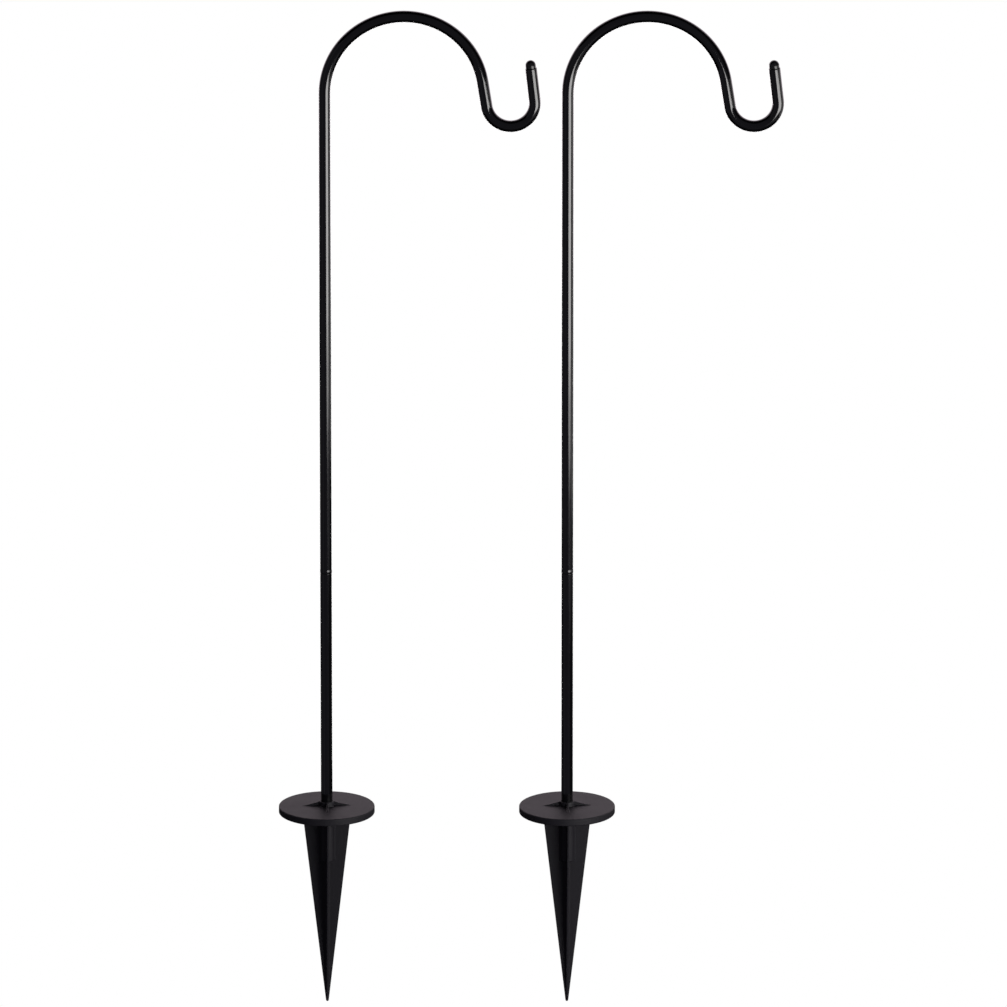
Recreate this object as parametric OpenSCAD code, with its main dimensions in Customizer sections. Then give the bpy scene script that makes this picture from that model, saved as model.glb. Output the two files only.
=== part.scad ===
// Hanging plant stand: a pair of two-piece garden hooks on moulded ground spikes.
// Each stand is a bent steel tube with a plug in its tip, a straight lower tube, a pin that joins the two
// tubes from inside, and a plastic spike whose round plate rests on the soil.
// Millimetres, +Z up. Z = 0 is the ground line, which is the underside of the plates. X runs the way the
// hooks point, and the origin lies midway between the two stands.

/* [Steel tube] */
// Outside diameter of both tubes
tube_d = 10; // [7:0.5:13]
// Wall of the bent hook tube
hook_wall = 1.0; // [0.8:0.1:1.4]
// Bevel on the tubes' cut ends
end_bevel = 0.5; // [0.2:0.1:0.7]
// How much the tube swells where it is bent, at its radius
bend_swell = 0.02; // [0.01:0.01:0.05]

/* [Upright] */
// Height of the seam between the two tubes above the ground line
seam_height = 216.5; // [120:0.5:400]
// Straight length of the hook tube, from the seam to the start of the arch
upper_straight = 427.5; // [200:0.5:700]

/* [Hook] */
// Radius of the arch, to the tube's centre line
arch_radius = 68; // [50:1:100]
// Angle of the sloping leg off the vertical, away from the pole
leg_splay = 9; // [0:1:20]
// Straight length of the sloping leg
leg_length = 22.5; // [10:0.5:60]
// Radius of the small hook that the hanger sits in, to the tube's centre line
saddle_radius = 20.7; // [16:0.1:40]
// Angle of the upturned tip off the vertical, back towards the pole
tip_lean = 6.5; // [0:0.5:15]
// Straight length of the upturned tip, without its plug
tip_straight = 28.5; // [15:0.5:60]

/* [Tip plug] */
// Diameter of the plug's domed head
plug_d = 8.8; // [8.4:0.1:9.6]
// Height that the head stands out of the tube
plug_height = 7; // [5:0.5:12]
// Length of the stem inside the tube
plug_stem = 9; // [5:1:14]

/* [Joint pin] */
// Length of the pin inside each of the two tubes
pin_engagement = 25; // [15:1:45]
// Width of the step in the lower tube that the pin stands on
pin_step = 0.25; // [0.15:0.05:0.4]
// Bevel on the pin's ends
pin_bevel = 0.6; // [0.3:0.1:1]

/* [Foot plate] */
// Diameter of the round foot plate
plate_d = 83; // [60:1:120]
// Thickness of the plate at its rim
rim_height = 6.2; // [4:0.1:9]
// Thickness of the plate inside the rim
web_t = 2.6; // [2:0.1:3.5]
// Width of the rim round the recess under the plate
rim_wall = 2.6; // [2:0.1:5]
// Radius on the rim's edges
rim_round = 0.9; // [0.4:0.1:1.2]
// Radius of the plate's gussets, where they run out
gusset_reach = 21.5; // [16:0.5:28]
// Height of the gussets where they meet the collar
gusset_height = 3.9; // [2:0.1:6]
// Thickness of the gussets
gusset_t = 1.6; // [1:0.1:3]
// Height of the collar round the pole above the plate
collar_height = 4.2; // [3:0.1:8]
// Wall of the collar at its top
collar_wall = 1.1; // [0.9:0.1:2]
// How much wider the collar is at the plate than at its top
collar_flare = 0.4; // [0:0.1:3]

/* [Spike] */
// Depth of the point below the ground line
spike_depth = 172; // [120:1:260]
// Width across two opposite vanes at the ground line
vane_span = 42; // [34:1:60]
// Width across two opposite vanes at the point
point_span = 2.2; // [2:0.1:5]
// Thickness of the vanes
vane_t = 1.8; // [1.4:0.1:1.9]
// Turn of the vanes and gussets from the plane of the hook
vane_turn = 3; // [0:1:45]
// Depth of the socket below the ground line, to its floor
socket_depth = 39; // [25:1:60]
// Wall of the socket tube
socket_wall = 1.5; // [1.2:0.1:2.5]
// Thickness of the socket's floor
socket_floor = 5; // [3:0.5:8]

/* [Pair] */
// Distance between the two poles
pair_spacing = 208; // [205:1:400]

/* [Clearances] */
// Radial clearance between the pin and the tubes' bores
pin_clearance = 0.05; // [0.02:0.01:0.1]
// Radial clearance between the lower tube and its socket
socket_clearance = 0.05; // [0.02:0.01:0.1]
// Radial clearance between the plug's stem and the tube's bore
plug_clearance = 0.05; // [0.02:0.01:0.1]

/* [Hidden] */

$fn = 64;
// How far a cutting shape runs past the face that it opens
cut = 1;
// How far a straight stretch of tube is let into the bend next to it
bend_lap = 0.3;

coat_black = [0.05, 0.05, 0.055];
plastic_black = [0.16, 0.15, 0.16];
zinc_grey = [0.62, 0.63, 0.65];

// Tubes
tube_r = tube_d / 2;
bore_r = tube_r - hook_wall;

// The pin fits the hook tube's bore. The lower tube has a thicker wall, and is reamed out to the same bore
// down to the step that the pin stands on.
pin_r = bore_r - pin_clearance;
lower_bore_r = pin_r - pin_step;

// Bent line of the hook, in the plane Y = 0
arch_base = seam_height + upper_straight;
arch_sweep = 180 - leg_splay;
arch_end = [arch_radius * (1 + cos(leg_splay)), arch_base + arch_radius * sin(leg_splay)];
leg_end = arch_end + leg_length * [sin(leg_splay), -cos(leg_splay)];
saddle_centre = leg_end + saddle_radius * [cos(leg_splay), sin(leg_splay)];
saddle_sweep = 180 - leg_splay + tip_lean;
saddle_end = saddle_centre + saddle_radius * [cos(tip_lean), sin(tip_lean)];
tube_tip = saddle_end + tip_straight * [-sin(tip_lean), cos(tip_lean)];

// Plug
plug_r = plug_d / 2;
stem_r = bore_r - plug_clearance;

// Foot plate, collar and socket
plate_r = plate_d / 2;
web_underside = rim_height - web_t;
collar_top = rim_height + collar_height;
socket_r = tube_r + socket_clearance;
collar_top_r = socket_r + collar_wall;
collar_base_r = collar_top_r + collar_flare;
socket_outer_r = socket_r + socket_wall;
socket_bottom = -socket_depth - socket_floor;
vane_slope = (vane_span - point_span) / 2 / spike_depth;
// The vanes, the gussets and the socket tube are rooted halfway into the plate's web
root_z = web_underside + web_t / 2;
vane_top_half = vane_span / 2 + vane_slope * root_z;
gusset_root_r = socket_r + collar_wall / 2;
// The gusset's sloping edge leaves the plate's top at gusset_reach, and runs on down into the web
gusset_foot = gusset_reach + (rim_height - root_z) * (gusset_reach - collar_top_r) / gusset_height;

// Places a point of the hook's plane, given as [x, z], in space
module at(point) {
    translate([point[0], 0, point[1]]) children();
}

// One stand, left (-1) or right (+1) of the middle
module stand(side) {
    translate([side * pair_spacing / 2, 0, 0]) children();
}

// A round bar of radius r bent to a circle in the hook's plane, from the angle start, counted from +X
module bend(bend_radius, start, sweep, r) {
    rotate([90, 0, 0])
        rotate([0, 0, start])
            rotate_extrude(angle = sweep)
                translate([bend_radius, 0]) circle(r = r);
}

// A straight round bar from the point start, that leans back towards the pole by lean degrees as it rises.
// It is let into the bends before and after it by bend_lap.
module straight(start, lean, length, r) {
    at(start)
        rotate([0, -lean, 0])
            translate([0, 0, -bend_lap]) cylinder(r = r, h = length + 2 * bend_lap);
}

// The hook's whole bent line at radius r, run past both of its ends by extra
module hook_line(r, extra) {
    translate([0, 0, seam_height - extra]) cylinder(r = r, h = upper_straight + extra + bend_lap);
    at([arch_radius, arch_base]) bend(arch_radius, leg_splay, arch_sweep, r + bend_swell);
    straight(leg_end, leg_splay, leg_length, r);
    at(saddle_centre) bend(saddle_radius, 180 + leg_splay, saddle_sweep, r + bend_swell);
    straight(saddle_end, tip_lean, tip_straight + extra - bend_lap, r);
}

// What a bevel takes off the outside of a tube's end: a ring with a sloping inner face, its end at z = 0
module end_bevel_ring() {
    rotate_extrude()
        polygon([
            [tube_r - end_bevel - cut, -cut],
            [tube_r + cut, -cut],
            [tube_r + cut, end_bevel + cut],
            [tube_r, end_bevel],
            [tube_r - end_bevel, 0],
        ]);
}

// Bent steel tube: upper pole, arch, sloping leg, small hook and upturned tip, open at both ends
module hook_tube() {
    color(coat_black)
        difference() {
            hook_line(tube_r, 0);
            hook_line(bore_r, cut);
            translate([0, 0, seam_height]) end_bevel_ring();
            at(tube_tip) rotate([0, 180 - tip_lean, 0]) end_bevel_ring();
        }
}

// Domed plug that closes the tip: a stem in the bore, a short neck and a round head on the tube's end
module tip_plug() {
    color(coat_black)
        at(tube_tip)
            rotate([0, -tip_lean, 0]) {
                translate([0, 0, -plug_stem]) cylinder(r = stem_r, h = plug_stem + cut);
                cylinder(r = plug_r, h = plug_height - plug_r);
                translate([0, 0, plug_height - plug_r])
                    difference() {
                        sphere(r = plug_r);
                        translate([0, 0, -plug_d]) cylinder(r = plug_d, h = plug_d);
                    }
            }
}

// Plain spigot across the seam, half in each tube
module joint_pin() {
    color(zinc_grey)
        translate([0, 0, seam_height - pin_engagement])
            rotate_extrude()
                polygon([
                    [0, 0],
                    [pin_r - pin_bevel, 0],
                    [pin_r, pin_bevel],
                    [pin_r, 2 * pin_engagement - pin_bevel],
                    [pin_r - pin_bevel, 2 * pin_engagement],
                    [0, 2 * pin_engagement],
                ]);
}

// Straight tube from the socket's floor to the seam, reamed at the top for the pin
module lower_tube() {
    color(coat_black)
        difference() {
            translate([0, 0, -socket_depth]) cylinder(r = tube_r, h = seam_height + socket_depth);
            translate([0, 0, -socket_depth - cut])
                cylinder(r = lower_bore_r, h = seam_height + socket_depth + 2 * cut);
            translate([0, 0, seam_height - pin_engagement])
                cylinder(r = bore_r, h = pin_engagement + cut);
            translate([0, 0, seam_height]) rotate([180, 0, 0]) end_bevel_ring();
            translate([0, 0, -socket_depth]) end_bevel_ring();
        }
}

// Outline of the plate's half section: round-edged rim, with a recess under the web
module plate_section() {
    difference() {
        union() {
            square([plate_r - rim_round, rim_height]);
            translate([0, rim_round]) square([plate_r, rim_height - 2 * rim_round]);
            translate([plate_r - rim_round, rim_round]) circle(r = rim_round);
            translate([plate_r - rim_round, rim_height - rim_round]) circle(r = rim_round);
        }
        translate([-cut, -cut]) square([plate_r - rim_wall + cut, web_underside + cut]);
    }
}

// Two opposite vanes in one plate, tapering from the web to the point
module vane_pair() {
    rotate([90, 0, 0])
        linear_extrude(height = vane_t, center = true)
            polygon([
                [-point_span / 2, -spike_depth],
                [point_span / 2, -spike_depth],
                [vane_top_half, root_z],
                [-vane_top_half, root_z],
            ]);
}

// One triangular gusset on top of the plate, running out from the collar along +X
module gusset() {
    rotate([90, 0, 0])
        linear_extrude(height = gusset_t, center = true)
            polygon([
                [gusset_root_r, root_z],
                [gusset_foot, root_z],
                [collar_top_r, rim_height + gusset_height],
                [gusset_root_r, rim_height + gusset_height],
            ]);
}

// Plastic moulding: foot plate, collar, gussets, socket tube and four vanes that meet at the point
module ground_spike() {
    color(plastic_black)
        difference() {
            union() {
                rotate_extrude() plate_section();
                translate([0, 0, rim_height])
                    cylinder(r1 = collar_base_r, r2 = collar_top_r, h = collar_height);
                translate([0, 0, socket_bottom])
                    cylinder(r = socket_outer_r, h = root_z - socket_bottom);
                for (turn = [0, 90]) rotate([0, 0, vane_turn + turn]) vane_pair();
                for (turn = [0:90:270]) rotate([0, 0, vane_turn + turn]) gusset();
            }
            translate([0, 0, -socket_depth])
                cylinder(r = socket_r, h = socket_depth + collar_top + cut);
        }
}

module left_ground_spike() { stand(-1) ground_spike(); }
module left_lower_tube() { stand(-1) lower_tube(); }
module left_joint_pin() { stand(-1) joint_pin(); }
module left_hook_tube() { stand(-1) hook_tube(); }
module left_tip_plug() { stand(-1) tip_plug(); }
module right_ground_spike() { stand(1) ground_spike(); }
module right_lower_tube() { stand(1) lower_tube(); }
module right_joint_pin() { stand(1) joint_pin(); }
module right_hook_tube() { stand(1) hook_tube(); }
module right_tip_plug() { stand(1) tip_plug(); }

left_ground_spike();
left_lower_tube();
left_joint_pin();
left_hook_tube();
left_tip_plug();
right_ground_spike();
right_lower_tube();
right_joint_pin();
right_hook_tube();
right_tip_plug();
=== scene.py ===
"""A pair of garden hooks for hanging plants, dressed for its picture.

Each stand is a plastic ground spike with a round foot plate, a straight lower tube, a pin that joins the two
tubes from inside, a bent hook tube and a plug in its tip. Metres, +Z up, with the ground line at z = 0.
"""
import math

import bmesh
import bpy
from mathutils import Matrix, Vector


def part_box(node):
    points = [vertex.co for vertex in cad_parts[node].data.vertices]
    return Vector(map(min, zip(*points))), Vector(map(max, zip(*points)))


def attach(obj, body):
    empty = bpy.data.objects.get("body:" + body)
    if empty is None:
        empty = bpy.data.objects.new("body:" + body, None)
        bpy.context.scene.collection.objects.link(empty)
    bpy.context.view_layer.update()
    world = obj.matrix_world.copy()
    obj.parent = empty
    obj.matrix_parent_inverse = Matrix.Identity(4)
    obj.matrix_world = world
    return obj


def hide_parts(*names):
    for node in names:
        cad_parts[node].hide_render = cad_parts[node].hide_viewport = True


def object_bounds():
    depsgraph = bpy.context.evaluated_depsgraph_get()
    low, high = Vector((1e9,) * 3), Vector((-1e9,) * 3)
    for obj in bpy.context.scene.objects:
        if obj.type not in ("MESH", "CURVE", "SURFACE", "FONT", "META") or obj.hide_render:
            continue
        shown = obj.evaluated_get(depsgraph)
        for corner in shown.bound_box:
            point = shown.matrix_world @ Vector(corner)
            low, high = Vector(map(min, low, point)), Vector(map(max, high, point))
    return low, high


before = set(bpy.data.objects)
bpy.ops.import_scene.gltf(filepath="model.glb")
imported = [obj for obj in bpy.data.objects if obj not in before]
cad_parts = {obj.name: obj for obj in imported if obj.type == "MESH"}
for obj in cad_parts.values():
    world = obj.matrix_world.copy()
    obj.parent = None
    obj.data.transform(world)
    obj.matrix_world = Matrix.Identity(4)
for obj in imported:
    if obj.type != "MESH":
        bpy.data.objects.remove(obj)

MM = 0.001
packed_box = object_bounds()

# ---------------------------------------------------------------------------------------------------- Camera
# The picture is taken from far off through a long lens, square to the plane of the hooks and looking down a
# little, so that the foot plates show as narrow ellipses and the poles stand nearly parallel.
SENSOR_WIDTH = 36
PICTURE_WIDTH = 1007
CAMERA_DISTANCE = 14.0
CAMERA_PITCH = math.radians(16.45)
# Pixels to a metre in the plane of the hooks
PICTURE_SCALE = 1161.5
PICTURE_MIDDLE = Vector((0.049, 0, 0.2786))

camera_data = bpy.data.cameras.new("camera")
camera_data.sensor_width = SENSOR_WIDTH
camera_data.lens = SENSOR_WIDTH * PICTURE_SCALE * CAMERA_DISTANCE / PICTURE_WIDTH
camera_data.clip_end = 100
camera = bpy.data.objects.new("camera", camera_data)
to_camera = Vector((0, -math.cos(CAMERA_PITCH), math.sin(CAMERA_PITCH)))
camera.location = PICTURE_MIDDLE + to_camera * CAMERA_DISTANCE
camera.rotation_euler = (math.pi / 2 - CAMERA_PITCH, 0, 0)
bpy.context.scene.collection.objects.link(camera)
bpy.context.scene.camera = camera

# --------------------------------------------------------------------------------------------- Ground spikes
# One moulding of matt black plastic for each stand: the round foot plate with its rim turned down, the collar
# that the pole stands in, four gussets, the closed socket tube and four vanes that taper to the point. The
# plate rests on the soil, and every edge and corner has the small radius that it leaves the mould with.
SIDES = ("left", "right")

PLATE_RADIUS = 41.49 * MM
RIM_HEIGHT = 6.2 * MM
RIM_WALL = 2.6 * MM
RIM_ROUND = 0.9 * MM
WEB_UNDERSIDE = 3.6 * MM
RIM_INNER_ROUND = 0.5 * MM

SOCKET_RADIUS = 5.05 * MM
COLLAR_TOP = 10.4 * MM
COLLAR_TOP_RADIUS = 6.15 * MM
COLLAR_BASE_RADIUS = 6.55 * MM
COLLAR_ROUND = 0.4 * MM
COLLAR_FILLET = 0.7 * MM

GUSSET_REACH = 21.5 * MM
GUSSET_HEIGHT = 3.9 * MM
GUSSET_THICKNESS = 1.6 * MM
GUSSET_FILLET = 0.6 * MM
GUSSET_ROUND = 0.4 * MM
# How far a gusset's top edge sags on its way down, how high it still is at its end, and how deep its sides
# reach into the plate
GUSSET_SAG = 0.35 * MM
GUSSET_END_HEIGHT = 0.02 * MM
GUSSET_SINK = 0.01 * MM

SPIKE_DEPTH = 172 * MM
VANE_SPAN = 42 * MM
POINT_SPAN = 2.2 * MM
VANE_THICKNESS = 1.8 * MM
VANE_ROUND = 0.5 * MM
VANE_FILLET = 1.0 * MM
VANE_TURN = math.radians(3)
# Radius of the round core that the vanes meet in, below the socket
CORE_RADIUS = 2.0 * MM
# Where the vanes reach less far than this, near the point, they get thinner too
THINNING_REACH = 3.4 * MM
# The blunt end of the point: heights above it, each with the share of the vanes' reach that is left there
POINT_BLUNTING = ((0, 0.3), (0.15 * MM, 0.6), (0.5 * MM, 0.85))
POINT_HEIGHT = 1.2 * MM
SOCKET_OUTER_RADIUS = 6.55 * MM
SOCKET_DEPTH = 39 * MM
SOCKET_BOTTOM = -44 * MM
SOCKET_BOTTOM_ROUND = 1.3 * MM
SOCKET_FLOOR_ROUND = 0.3 * MM
SOCKET_MOUTH_ROUND = 0.4 * MM
WEB_FILLET = 1.5 * MM
# Middle of the plate's web, where the vanes, the socket and the gussets are rooted
ROOT_HEIGHT = 4.9 * MM

ROUND_STEPS = 96


def arc(centre, radius, first, last, steps):
    """Points along an arc from the first angle to the last, in degrees counted from +X."""
    angles = [math.radians(first + (last - first) * i / steps) for i in range(steps + 1)]
    return [(centre[0] + radius * math.cos(a), centre[1] + radius * math.sin(a)) for a in angles]


def skin(rings, loop=False):
    """Closed mesh through rings of points, joined back to the first ring or with a face across each end."""
    mesh = bmesh.new()
    rows = [[mesh.verts.new(point) for point in ring] for ring in rings]
    followers = rows[1:] + rows[:1] if loop else rows[1:]
    for row, following in zip(rows, followers):
        for i in range(len(row)):
            j = (i + 1) % len(row)
            mesh.faces.new((row[i], row[j], following[j], following[i]))
    if not loop:
        mesh.faces.new(rows[0])
        mesh.faces.new(rows[-1])
    bmesh.ops.recalc_face_normals(mesh, faces=mesh.faces)
    return mesh


def turned(profile):
    """Mesh turned round the pole's axis from points of radius and height, closed flat at both ends."""
    angles = [2 * math.pi * i / ROUND_STEPS for i in range(ROUND_STEPS)]
    return skin([[(r * math.cos(a), r * math.sin(a), z) for a in angles] for r, z in profile])


def piece(name, mesh):
    """Object made of a finished mesh, linked to the scene."""
    data = bpy.data.meshes.new(name)
    mesh.to_mesh(data)
    mesh.free()
    made = bpy.data.objects.new(name, data)
    bpy.context.scene.collection.objects.link(made)
    return made


def moulded_plate():
    """The foot plate and its collar, solid to the axis where the bore is cut later."""
    inner = PLATE_RADIUS - RIM_WALL
    end_radius = 3 * MM
    lean = math.degrees(math.atan2(COLLAR_TOP - RIM_HEIGHT, COLLAR_BASE_RADIUS - COLLAR_TOP_RADIUS))
    foot = COLLAR_FILLET * math.tan(math.radians(lean / 2))
    foot_centre = (COLLAR_BASE_RADIUS + foot, RIM_HEIGHT + COLLAR_FILLET)
    top_centre = (COLLAR_TOP_RADIUS - COLLAR_ROUND, COLLAR_TOP - COLLAR_ROUND)
    profile = [(end_radius, WEB_UNDERSIDE)]
    profile += arc((inner - RIM_INNER_ROUND, WEB_UNDERSIDE - RIM_INNER_ROUND), RIM_INNER_ROUND, 90, 0, 4)
    profile += arc((inner + RIM_INNER_ROUND, RIM_INNER_ROUND), RIM_INNER_ROUND, 180, 270, 4)
    profile += arc((PLATE_RADIUS - RIM_ROUND, RIM_ROUND), RIM_ROUND, 270, 360, 6)
    profile += arc((PLATE_RADIUS - RIM_ROUND, RIM_HEIGHT - RIM_ROUND), RIM_ROUND, 0, 90, 6)
    profile += [(share * PLATE_RADIUS, RIM_HEIGHT) for share in (0.8, 0.6, 0.4)]
    profile += arc(foot_centre, COLLAR_FILLET, 270, 270 - lean, 5)
    profile += arc(top_centre, COLLAR_ROUND, 90 - lean, 90, 4)
    profile += [(end_radius, COLLAR_TOP)]
    return turned(profile)


def vane_outline(reach, half, core, fillet, edge):
    """Outline at one height of the four vanes and the round core between them."""
    start = math.sqrt((core + fillet) ** 2 - (half + fillet) ** 2)
    lean = math.degrees(math.atan2(half + fillet, start))
    outer = reach - edge
    first = [(reach, 0)]
    first += arc((outer, half - edge), edge, 0, 90, 4)
    first += [(outer + (start - outer) * share, half) for share in (0.25, 0.5, 0.75)]
    first += arc((start, half + fillet), fillet, 270, 180 + lean, 5)
    second = [(y, x) for x, y in reversed(first[1:])]
    quarter = first + arc((0, 0), core, lean, 90 - lean, 6)[1:-1] + second
    outline = []
    for c, s in ((1, 0), (0, 1), (-1, 0), (0, -1)):
        outline += [(c * x - s * y, s * x + c * y) for x, y in quarter]
    return outline


def vane_level(height, core, flare=0, tip=1):
    """The vanes' outline at this height as a ring. Near the point everything draws in together."""
    slope = (VANE_SPAN - POINT_SPAN) / 2 / SPIKE_DEPTH
    reach = (VANE_SPAN / 2 + slope * height) * tip
    size = min(1, reach / THINNING_REACH)
    half = VANE_THICKNESS / 2 * size
    fillet = VANE_FILLET * size
    edge = VANE_ROUND * size
    outline = vane_outline(reach + flare, half + flare, core * size + flare, fillet, edge)
    c, s = math.cos(VANE_TURN), math.sin(VANE_TURN)
    return [(c * x - s * y, s * x + c * y, height) for x, y in outline]


def moulded_vanes():
    """The four vanes and the socket tube, from the point up into the plate's web."""
    rings = []
    for rise, tip in POINT_BLUNTING:
        rings.append(vane_level(-SPIKE_DEPTH + rise, CORE_RADIUS, tip=tip))
    steps = 24
    start = -SPIKE_DEPTH + POINT_HEIGHT
    for i in range(steps + 1):
        rings.append(vane_level(start + (SOCKET_BOTTOM - start) * i / steps, CORE_RADIUS))
    corner = (SOCKET_OUTER_RADIUS - SOCKET_BOTTOM_ROUND, SOCKET_BOTTOM + SOCKET_BOTTOM_ROUND)
    for core, height in arc(corner, SOCKET_BOTTOM_ROUND, 270, 360, 6):
        rings.append(vane_level(height, core))
    # A few rings up the socket tube keep its faces short
    for height in (-35 * MM, -28 * MM, -21 * MM, -14 * MM, -7 * MM):
        rings.append(vane_level(height, SOCKET_OUTER_RADIUS))
    for flare, height in arc((WEB_FILLET, WEB_UNDERSIDE - WEB_FILLET), WEB_FILLET, 180, 90, 6):
        rings.append(vane_level(height, SOCKET_OUTER_RADIUS, flare))
    rings.append(vane_level(ROOT_HEIGHT, SOCKET_OUTER_RADIUS, WEB_FILLET))
    return skin(rings)


def gusset_ring(distance):
    """Section across a gusset this far from the pole's axis, with a fillet at its foot and a rounded top."""
    share = (GUSSET_REACH - distance) / (GUSSET_REACH - COLLAR_TOP_RADIUS)
    sag = GUSSET_SAG * math.sin(math.pi * min(1, share))
    height = max(GUSSET_END_HEIGHT, GUSSET_HEIGHT * share - sag)
    fillet = min(GUSSET_FILLET, 0.8 * height)
    top_round = min(GUSSET_ROUND, 0.5 * height)
    low = -GUSSET_SINK
    steps = 10
    right = [(GUSSET_THICKNESS / 2 + fillet, ROOT_HEIGHT)]
    for i in range(steps + 1):
        # The levels crowd towards the rounded top
        level = low + (height - low) * (1 - (1 - i / steps) ** 1.5)
        spread = GUSSET_THICKNESS / 2
        if level < fillet:
            spread += fillet - math.sqrt(fillet ** 2 - (fillet - max(0, level)) ** 2)
        into_round = level - (height - top_round)
        if into_round > 0:
            spread -= top_round - math.sqrt(max(0, top_round ** 2 - into_round ** 2))
        right.append((spread, RIM_HEIGHT + level))
    section = right + [(-y, z) for y, z in reversed(right)]
    return [(distance, y, z) for y, z in section]


def moulded_gussets():
    """Four gussets on the plate, in line with the vanes below it."""
    inner = (SOCKET_RADIUS + COLLAR_TOP_RADIUS) / 2
    steps = 16
    distances = [inner + (GUSSET_REACH - inner) * i / steps for i in range(steps + 1)]
    together = bmesh.new()
    for turn in range(4):
        one = skin([gusset_ring(distance) for distance in distances])
        one.transform(Matrix.Rotation(VANE_TURN + turn * math.pi / 2, 4, "Z"))
        data = bpy.data.meshes.new("gusset")
        one.to_mesh(data)
        one.free()
        together.from_mesh(data)
        bpy.data.meshes.remove(data)
    return together


def socket_bore():
    """What the socket's bore takes out, with a rounded mouth in the collar and a rounded floor."""
    end_radius = 2 * MM
    halfway = -20 * MM
    above = COLLAR_TOP + 1 * MM
    floor_centre = (SOCKET_RADIUS - SOCKET_FLOOR_ROUND, -SOCKET_DEPTH + SOCKET_FLOOR_ROUND)
    mouth_radius = SOCKET_RADIUS + SOCKET_MOUTH_ROUND
    profile = [(end_radius, -SOCKET_DEPTH)]
    profile += arc(floor_centre, SOCKET_FLOOR_ROUND, 270, 360, 3)
    profile += [(SOCKET_RADIUS, halfway)]
    profile += arc((mouth_radius, COLLAR_TOP - SOCKET_MOUTH_ROUND), SOCKET_MOUTH_ROUND, 180, 90, 4)[:-1]
    profile += [(mouth_radius, above), (end_radius, above)]
    return turned(profile)


def shaped(base, other, operation):
    """Joins the other object to the base, or cuts it out of it, and throws the other away."""
    change = base.modifiers.new("shape", "BOOLEAN")
    change.operation = operation
    change.solver = "EXACT"
    change.object = other
    bpy.context.view_layer.update()
    result = bpy.data.meshes.new_from_object(base.evaluated_get(bpy.context.evaluated_depsgraph_get()))
    base.modifiers.clear()
    base.data = result
    bpy.data.objects.remove(other)


def smooth(made, angle):
    """Smooth shading broken at edges sharper than the angle, with flat faces kept looking flat."""
    made.data.shade_smooth()
    made.data.set_sharp_from_angle(angle=math.radians(angle))
    even = made.modifiers.new("even", "WEIGHTED_NORMAL")
    even.keep_sharp = True


class Value:
    """A socket of a shader node that can be used in sums, which add the Math nodes that they need."""

    def __init__(self, finish, socket):
        self.finish = finish
        self.socket = socket

    def math(self, operation, first, second):
        return self.finish.node("Math", {"operation": operation}, {0: first, 1: second})

    def __add__(self, other):
        return self.math("ADD", self, other)

    def __radd__(self, other):
        return self.math("ADD", other, self)

    def __mul__(self, other):
        return self.math("MULTIPLY", self, other)

    def __rmul__(self, other):
        return self.math("MULTIPLY", other, self)


def in_use(sockets, key):
    """The enabled socket that has this name, or this place among the enabled ones."""
    enabled = [socket for socket in sockets if socket.enabled]
    if isinstance(key, int):
        return enabled[key]
    return next(socket for socket in enabled if socket.name == key)


class Finish:
    """A material under construction. One method adds every kind of node."""

    def __init__(self, name):
        self.material = bpy.data.materials.new(name)
        self.material.use_nodes = True
        self.nodes = self.material.node_tree.nodes
        self.links = self.material.node_tree.links
        self.nodes.clear()

    def node(self, kind, settings, sockets, output=0):
        """Adds a node, sets it up, fills its sockets with values or links, and gives one of its outputs."""
        added = self.nodes.new("ShaderNode" + kind)
        for key, setting in settings.items():
            setattr(added, key, setting)
        for key, content in sockets.items():
            socket = in_use(added.inputs, key)
            if isinstance(content, Value):
                self.links.new(content.socket, socket)
            else:
                socket.default_value = content
        return Value(self, in_use(added.outputs, output) if added.outputs else None)

    def spots(self, place, size, detail=2.0, roughness=0.5):
        """Cloudy noise from 0 to 1 whose spots are about this size."""
        return self.node("TexNoise", {}, {
            "Vector": place,
            "Scale": 1 / size,
            "Detail": detail,
            "Roughness": roughness,
        })

    def blend(self, share, first, second):
        """A colour between two others."""
        return self.node("Mix", {"data_type": "RGBA"}, {"Factor": share, "A": first, "B": second})

    def done(self, surface):
        """Joins the finished surface to the material."""
        self.node("OutputMaterial", {}, {"Surface": surface})
        return self.material


def matt_black_plastic():
    """Moulded black plastic with the mould's fine spark grain, a little cloudy in tone and gloss."""
    finish = Finish("matt_black_plastic")
    place = finish.node("TexCoord", {}, {}, "Object")
    clouds = finish.spots(place, 14 * MM, 3)
    grain = finish.spots(place, 0.35 * MM, 2, 0.6)
    colour = finish.blend(clouds, (0.0128, 0.0118, 0.0155, 1), (0.0162, 0.0150, 0.0196, 1))
    relief = finish.node("Bump", {}, {"Strength": 0.5, "Distance": 0.03 * MM, "Height": grain})
    surface = finish.node("BsdfPrincipled", {}, {
        "Base Color": colour,
        "Roughness": 0.52 + 0.08 * clouds + 0.04 * grain,
        "Normal": relief,
        "IOR": 1.5,
        "Specular IOR Level": 0.3,
    })
    return finish.done(surface)


def node_middle(node):
    """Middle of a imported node's box."""
    low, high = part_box(node)
    return (low + high) / 2


spike_plastic = matt_black_plastic()
moulding = piece("spike_moulding", moulded_plate())
shaped(moulding, piece("vanes", moulded_vanes()), "UNION")
shaped(moulding, piece("gussets", moulded_gussets()), "UNION")
shaped(moulding, piece("bore", socket_bore()), "DIFFERENCE")
for side in SIDES:
    pole_x = node_middle(side + "_lower_tube").x
    data = moulding.data.copy()
    data.transform(Matrix.Translation((pole_x, 0, 0)))
    spike = bpy.data.objects.new(side + "_spike_moulding", data)
    bpy.context.scene.collection.objects.link(spike)
    smooth(spike, 40)
    spike.data.materials.clear()
    spike.data.materials.append(spike_plastic)
    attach(spike, "ground_spikes")
    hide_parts(side + "_ground_spike")
bpy.data.objects.remove(moulding)

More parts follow.
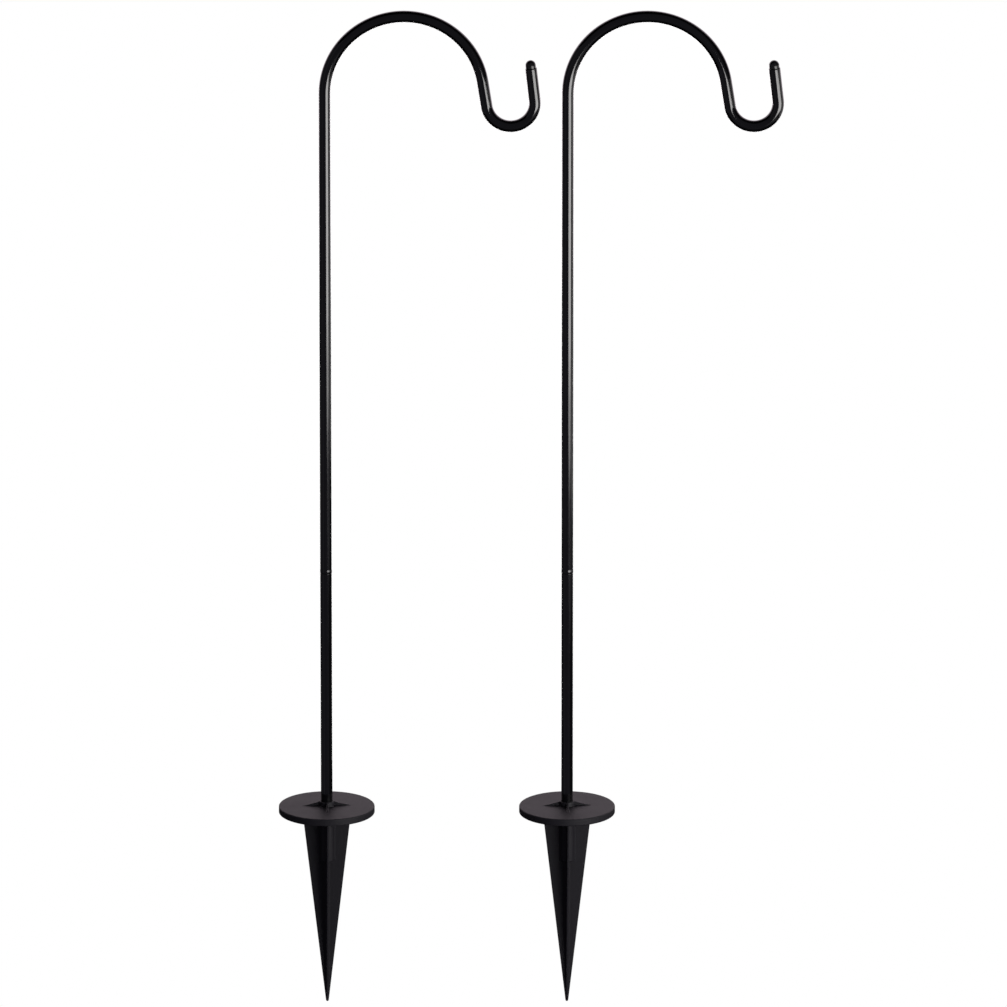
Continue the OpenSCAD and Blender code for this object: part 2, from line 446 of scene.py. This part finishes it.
# ----------------------------------------------------------------------------------------------- Lower tubes
# A straight steel tube, cut square, its ends dressed round and powder coated gloss black. It stands on the
# socket's floor, and its top is reamed to the pin's size, down to the step that the pin stands on.
TUBE_RADIUS = 5.0 * MM
BORE_RADIUS = 4.0 * MM
LOWER_BORE_RADIUS = 3.7 * MM
PIN_ENGAGEMENT = 25 * MM
END_ROUND = 0.5 * MM
BORE_EDGE = 0.15 * MM
TUBE_STEPS = 64
# Longest steps between a straight tube's rings, outside and in the bore
STRAIGHT_STEP = 12 * MM
BORE_STEP = 24 * MM


def along_tube(line, profile):
    """Tube wall carried along a line, from a closed profile of distances along the line and radii."""
    angles = [2 * math.pi * i / TUBE_STEPS for i in range(TUBE_STEPS)]
    rings = []
    for distance, radius in profile:
        x, z, heading = line(distance)
        across = (math.sin(heading), -math.cos(heading))
        rings.append([
            (
                x + radius * math.cos(a) * across[0],
                radius * math.sin(a),
                z + radius * math.cos(a) * across[1],
            )
            for a in angles
        ])
    return rings


def even_steps(first, last, longest):
    """Distances from the first to the last, both left out, no further apart than the longest step."""
    count = max(1, math.ceil(abs(last - first) / longest))
    return [first + (last - first) * i / count for i in range(1, count)]


def gloss_black_coat():
    """Black powder coat on steel: glossy, with faint orange peel and a slow drift in its gloss."""
    finish = Finish("gloss_black_coat")
    place = finish.node("TexCoord", {}, {}, "Object")
    drift = finish.spots(place, 22 * MM, 2)
    peel = finish.spots(place, 1.6 * MM, 1)
    specks = finish.spots(place, 0.3 * MM, 2)
    colour = finish.blend(drift, (0.0035, 0.0035, 0.0042, 1), (0.0050, 0.0049, 0.0056, 1))
    relief = finish.node("Bump", {}, {"Strength": 0.5, "Distance": 0.011 * MM, "Height": peel + 0.1 * specks})
    surface = finish.node("BsdfPrincipled", {}, {
        "Base Color": colour,
        "Roughness": 0.08 + 0.04 * drift,
        "Normal": relief,
        "IOR": 1.5,
        "Coat Weight": 0.2 + 0.2 * drift,
        "Coat Roughness": 0.08,
    })
    return finish.done(surface)


tube_coat = gloss_black_coat()
for side in SIDES:
    pole_x = node_middle(side + "_lower_tube").x
    foot_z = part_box(side + "_lower_tube")[0].z
    seam_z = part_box(side + "_lower_tube")[1].z
    length = seam_z - foot_z
    step_at = length - PIN_ENGAGEMENT

    def pole_line(distance):
        """The straight line up the pole from the tube's foot."""
        return pole_x, foot_z + distance, math.pi / 2

    profile = arc((END_ROUND, TUBE_RADIUS - END_ROUND), END_ROUND, 180, 90, 5)
    outside = even_steps(END_ROUND, length - END_ROUND, STRAIGHT_STEP)
    profile += [(distance, TUBE_RADIUS) for distance in outside]
    profile += arc((length - END_ROUND, TUBE_RADIUS - END_ROUND), END_ROUND, 90, 0, 5)
    profile += [(length, BORE_RADIUS + BORE_EDGE), (length - BORE_EDGE, BORE_RADIUS)]
    profile += [(step_at, BORE_RADIUS), (step_at, LOWER_BORE_RADIUS)]
    inside = even_steps(step_at, BORE_EDGE, BORE_STEP)
    profile += [(distance, LOWER_BORE_RADIUS) for distance in inside]
    profile += [(BORE_EDGE, LOWER_BORE_RADIUS), (0, LOWER_BORE_RADIUS + BORE_EDGE)]
    lower = piece(side + "_lower_pole_tube", skin(along_tube(pole_line, profile), loop=True))
    smooth(lower, 50)
    lower.data.materials.append(tube_coat)
    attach(lower, side + "_lower_pole")
    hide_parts(side + "_lower_tube")

# ------------------------------------------------------------------------------------------------ Joint pins
# A turned steel spigot with a thin zinc plate, half in each tube. It is out of sight while the stand is whole
# and shows when the hook is lifted off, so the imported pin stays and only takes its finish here.


def zinc_plated_steel():
    """Zinc over turned steel: fine rings from the tool round the pin, under a slightly cloudy plate."""
    finish = Finish("zinc_plated_steel")
    place = finish.node("TexCoord", {}, {}, "Object")
    stretched = finish.node("Mapping", {}, {"Vector": place, "Scale": (0.02, 0.02, 1)})
    rings = finish.spots(stretched, 0.25 * MM, 3, 0.7)
    clouds = finish.spots(place, 3 * MM, 3)
    colour = finish.blend(clouds, (0.56, 0.57, 0.60, 1), (0.70, 0.69, 0.66, 1))
    relief = finish.node("Bump", {}, {"Strength": 0.6, "Distance": 0.01 * MM, "Height": rings})
    surface = finish.node("BsdfPrincipled", {}, {
        "Base Color": colour,
        "Metallic": 1.0,
        "Roughness": 0.26 + 0.12 * clouds + 0.08 * rings,
        "Normal": relief,
    })
    return finish.done(surface)


pin_zinc = zinc_plated_steel()
for side in SIDES:
    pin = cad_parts[side + "_joint_pin"]
    pin.data.materials.clear()
    pin.data.materials.append(pin_zinc)

# ------------------------------------------------------------------------------------------------ Hook tubes
# One length of steel tube, bent cold into the large arch and the small upturned hook, then powder coated like
# the lower tube. The coat has drawn to the cut end at the seam as a thin bead, which catches the light.
UPPER_STRAIGHT = 427.5 * MM
ARCH_RADIUS = 68 * MM
ARCH_SWEEP = math.radians(171)
LEG_LENGTH = 22.5 * MM
SADDLE_RADIUS = 20.7 * MM
SADDLE_SWEEP = math.radians(177.5)
TIP_STRAIGHT = 28.5 * MM
BEAD_HEIGHT = 0.14 * MM
BEAD_TOP = 1.0 * MM
BEAD_LENGTH = 4.0 * MM
BEAD_STEPS = 12
# The hook turns on the pin a hair clear of the lower tube's end
SEAM_GAP = 0.01 * MM

# Lengths of the bent line's stretches from the seam, each with its radius: 0 if it is straight, and less than
# 0 if it bends towards the hook's front
STRETCHES = (
    (UPPER_STRAIGHT, 0),
    (ARCH_RADIUS * ARCH_SWEEP, -ARCH_RADIUS),
    (LEG_LENGTH, 0),
    (SADDLE_RADIUS * SADDLE_SWEEP, SADDLE_RADIUS),
    (TIP_STRAIGHT, 0),
)
HOOK_LENGTH = sum(length for length, radius in STRETCHES)
BEND_STEP = math.radians(3)


def bent_line(distance, x, z):
    """Place and heading this far along the hook's line, which starts upwards from x and z."""
    heading = math.pi / 2
    for length, radius in STRETCHES:
        step = min(distance, length)
        if radius == 0:
            x += step * math.cos(heading)
            z += step * math.sin(heading)
        else:
            turn = step / radius
            x += radius * (math.sin(heading + turn) - math.sin(heading))
            z -= radius * (math.cos(heading + turn) - math.cos(heading))
            heading += turn
        distance -= step
    return x, z, heading


def hook_stations(first, last):
    """Distances between two places on the hook's line, close together in the bends."""
    stations = []
    end = 0
    for length, radius in STRETCHES:
        start, end = end, end + length
        longest = STRAIGHT_STEP if radius == 0 else abs(radius) * BEND_STEP
        stations += [start] + even_steps(start, end, longest)
    return [distance for distance in stations if first < distance < last]


for side in SIDES:
    pole_x = node_middle(side + "_lower_tube").x
    seam_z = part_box(side + "_lower_tube")[1].z

    def hook_line(distance):
        """This stand's bent line."""
        return bent_line(distance, pole_x, seam_z)

    bead = TUBE_RADIUS + BEAD_HEIGHT
    profile = arc((SEAM_GAP + END_ROUND, bead - END_ROUND), END_ROUND, 180, 90, 5)
    for i in range(BEAD_STEPS + 1):
        share = i / BEAD_STEPS
        swell = BEAD_HEIGHT * (0.5 + 0.5 * math.cos(math.pi * share))
        profile.append((BEAD_TOP + (BEAD_LENGTH - BEAD_TOP) * share, TUBE_RADIUS + swell))
    outside = hook_stations(BEAD_LENGTH, HOOK_LENGTH - END_ROUND)
    profile += [(distance, TUBE_RADIUS) for distance in outside]
    profile += arc((HOOK_LENGTH - END_ROUND, TUBE_RADIUS - END_ROUND), END_ROUND, 90, 0, 5)
    profile += [(HOOK_LENGTH, BORE_RADIUS + BORE_EDGE), (HOOK_LENGTH - BORE_EDGE, BORE_RADIUS)]
    inside = hook_stations(SEAM_GAP + BORE_EDGE, HOOK_LENGTH - BORE_EDGE)
    profile += [(distance, BORE_RADIUS) for distance in reversed(inside)]
    profile += [(SEAM_GAP + BORE_EDGE, BORE_RADIUS), (SEAM_GAP, BORE_RADIUS + BORE_EDGE)]
    hook = piece(side + "_bent_hook_tube", skin(along_tube(hook_line, profile), loop=True))
    smooth(hook, 50)
    hook.data.materials.append(tube_coat)
    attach(hook, side + "_hook")
    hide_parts(side + "_hook_tube")

# ------------------------------------------------------------------------------------------------- Tip plugs
# A small moulded plug in the hook's tip, so that the cut end scratches nobody: a stem that is pressed into
# the tube and a polished round head, a little slimmer than the tube, over a narrow neck.
PLUG_RADIUS = 4.4 * MM
PLUG_HEIGHT = 7.0 * MM
PLUG_STEM = 9.0 * MM
STEM_RADIUS = 3.95 * MM
STEM_BEVEL = 0.6 * MM
STEM_SHOULDER = 0.2 * MM
NECK_RADIUS = 4.1 * MM
NECK_HEIGHT = 0.35 * MM
NECK_EDGE = 0.25 * MM


def gloss_black_plastic():
    """Polished black plastic, with the faint waviness of a small moulding."""
    finish = Finish("gloss_black_plastic")
    place = finish.node("TexCoord", {}, {}, "Object")
    waves = finish.spots(place, 2.5 * MM, 1)
    scuffs = finish.spots(place, 0.4 * MM, 3, 0.6)
    colour = finish.blend(waves, (0.011, 0.011, 0.012, 1), (0.016, 0.015, 0.016, 1))
    relief = finish.node("Bump", {}, {"Strength": 0.4, "Distance": 0.02 * MM, "Height": waves + 0.1 * scuffs})
    surface = finish.node("BsdfPrincipled", {}, {
        "Base Color": colour,
        "Roughness": 0.16 + 0.08 * scuffs,
        "Normal": relief,
        "IOR": 1.5,
    })
    return finish.done(surface)


plug_plastic = gloss_black_plastic()
for side in SIDES:
    pole_x = node_middle(side + "_lower_tube").x
    seam_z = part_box(side + "_lower_tube")[1].z

    def tip_line(distance):
        """The tip's straight line, carried on past the tube's end, with 0 at that end."""
        x, z, heading = bent_line(HOOK_LENGTH, pole_x, seam_z)
        return x + distance * math.cos(heading), z + distance * math.sin(heading), heading

    end_radius = 0.4 * MM
    profile = [(-PLUG_STEM, end_radius), (-PLUG_STEM, STEM_RADIUS - STEM_BEVEL)]
    profile += [(-PLUG_STEM + STEM_BEVEL, STEM_RADIUS), (-STEM_SHOULDER, STEM_RADIUS)]
    profile += [(0, NECK_RADIUS), (NECK_HEIGHT, NECK_RADIUS)]
    profile += arc((NECK_HEIGHT + NECK_EDGE, PLUG_RADIUS - NECK_EDGE), NECK_EDGE, 180, 90, 3)
    profile += arc((PLUG_HEIGHT - PLUG_RADIUS, 0), PLUG_RADIUS, 90, 4, 18)
    plug = piece(side + "_plug_moulding", skin(along_tube(tip_line, profile)))
    smooth(plug, 50)
    plug.data.materials.append(plug_plastic)
    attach(plug, side + "_hook")
    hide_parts(side + "_tip_plug")

# ------------------------------------------------------------------------------------------- Floor and light
# A plain white floor under the points, evenly lit, and soft panels. A bright one in front to the right makes
# the streak down the poles, with a half as bright one under it, and one behind does the same for the back. A
# wide one behind is what the foot plates shine in, and dim ones all round keep the black readable.
FLOOR_CLEARANCE = 0.5 * MM
FLOOR_SIDE = 60


def plain_light(name, colour, strength):
    """A surface that only gives off light."""
    finish = Finish(name)
    return finish.done(finish.node("Emission", {}, {"Color": colour, "Strength": strength}))


def soft_panel(name, azimuth, distance, width, bottom, top, radiance, colour):
    """Adds an upright light panel that faces the stands. Azimuth 0 is the camera's side, and 90 the right."""
    light = bpy.data.lights.new(name, "AREA")
    light.shape = "RECTANGLE"
    light.size = width
    light.size_y = top - bottom
    light.energy = radiance * math.pi * width * (top - bottom)
    light.color = colour
    panel = bpy.data.objects.new(name, light)
    a = math.radians(azimuth)
    middle = (packed_box[0] + packed_box[1]) / 2
    panel.location = (middle.x + distance * math.sin(a), -distance * math.cos(a), (bottom + top) / 2)
    panel.rotation_euler = (math.pi / 2, 0, a)
    panel.visible_camera = False
    bpy.context.scene.collection.objects.link(panel)


floor_mesh = bmesh.new()
bmesh.ops.create_grid(floor_mesh, x_segments=1, y_segments=1, size=FLOOR_SIDE / 2)
floor = piece("floor", floor_mesh)
floor.location.z = -SPIKE_DEPTH - FLOOR_CLEARANCE
floor.data.materials.append(plain_light("white_floor", (1, 1, 1, 1), 1.0))
floor.visible_glossy = False
floor.visible_diffuse = False

# Each panel's name, azimuth, distance, width, bottom, top, radiance and colour
soft_panel("streak_panel", 43, 1.5, 1.35, -0.036, 0.432, 7.2, (1, 0.99, 0.98))
soft_panel("half_streak_panel", 43, 1.5, 1.35, -0.128, -0.036, 3.4, (1, 0.99, 0.98))
soft_panel("low_panel", 60, 0.8, 1.2, -0.07, 0.10, 0.19, (0.95, 0.92, 1))
soft_panel("side_panel", 105, 1.0, 1.0, -0.02, 0.60, 0.65, (1, 0.98, 0.99))
soft_panel("left_panel", -80, 2.0, 2.8, -0.80, 1.60, 0.11, (0.86, 0.84, 1))
soft_panel("front_panel", 0, 2.5, 7.0, -3.00, 6.00, 0.105, (0.84, 0.80, 1))
soft_panel("back_panel", 180, 1.2, 4.0, 0.12, 2.00, 1.15, (1, 0.875, 0.955))
soft_panel("back_streak_panel", 180, 2.5, 0.9, -0.75, 0.00, 4.0, (1, 0.99, 0.98))

world = bpy.data.worlds.new("white_surround")
bpy.context.scene.world = world
world.use_nodes = True
background = world.node_tree.nodes["Background"]
background.inputs["Color"].default_value = (1, 1, 1, 1)
background.inputs["Strength"].default_value = 1.0
world.cycles_visibility.glossy = False
world.cycles_visibility.diffuse = False
bpy.context.scene.view_settings.view_transform = "Standard"
